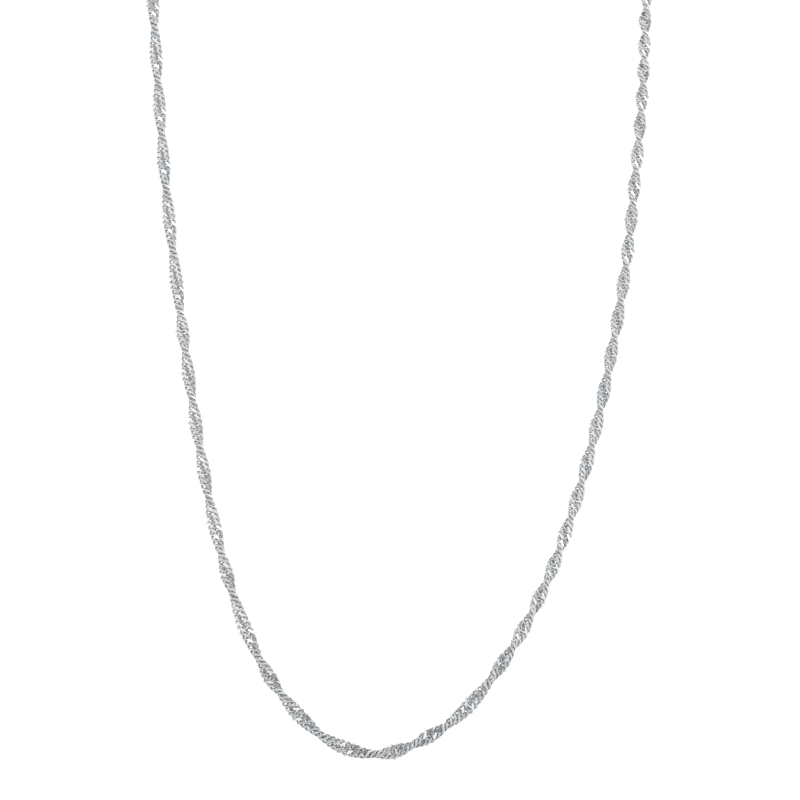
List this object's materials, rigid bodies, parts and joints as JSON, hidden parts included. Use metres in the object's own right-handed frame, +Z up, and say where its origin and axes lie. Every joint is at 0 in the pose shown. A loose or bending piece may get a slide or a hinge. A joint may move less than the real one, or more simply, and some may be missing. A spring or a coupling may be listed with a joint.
{
  "type": "twisted chain necklace",
  "caption": "Silver necklace of fine double curb links in a flat band that twists along its whole length, hanging in a deep U, closed by a ring clasp at the nape.",
  "frame": {"origin": "on the neck's axis, in the middle of the neck opening, at the level where the loop rests on the neck", "axes": "+Z up along the neck, -Y the way the wearer faces, +X to the right seen from in front"},
  "size_m": [0.0933, 0.1085, 0.1257],
  "materials": {
    "chain_silver": "bright polished silver with small flat cuts",
    "clasp_silver": "polished silver"
  },
  "bodies": {
    "root": {"chain": "chain_silver", "clasp": "clasp_silver"}
  },
  "joints": []
}
